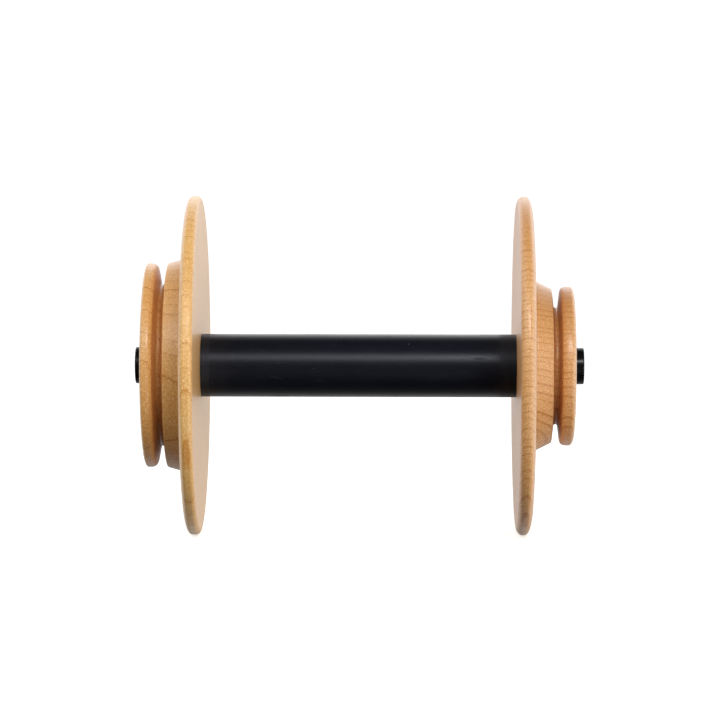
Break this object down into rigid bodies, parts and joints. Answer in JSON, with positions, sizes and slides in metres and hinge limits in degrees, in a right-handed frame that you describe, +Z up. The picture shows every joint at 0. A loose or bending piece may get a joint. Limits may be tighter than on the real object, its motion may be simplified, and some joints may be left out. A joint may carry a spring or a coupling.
{
  "type": "spinning wheel bobbin",
  "caption": "Yarn bobbin that turns on a flyer shaft: black core tube, wooden flanges, and a grooved drive band whorl of its own size at each end.",
  "frame": {"origin": "on the bore's axis, at the middle of the overall length between the two bushes' end faces", "axes": "+X along the bore towards the small whorl, +Z up with the bobbin lying on its two flanges"},
  "size_m": [0.1216, 0.092, 0.092],
  "materials": {
    "black_tube": "satin black, drawn lengthwise",
    "flange_wood": "pale softwood, turned and clear lacquered",
    "whorl_wood": "softwood, turned and clear lacquered",
    "black_bush": "gloss black, turned"
  },
  "bodies": {
    "root": {"core_tube": "black_tube", "large_end_flange": "flange_wood", "large_whorl": "whorl_wood", "large_end_bush": "black_bush", "small_end_flange": "flange_wood", "small_whorl": "whorl_wood", "small_end_bush": "black_bush"}
  },
  "joints": []
}
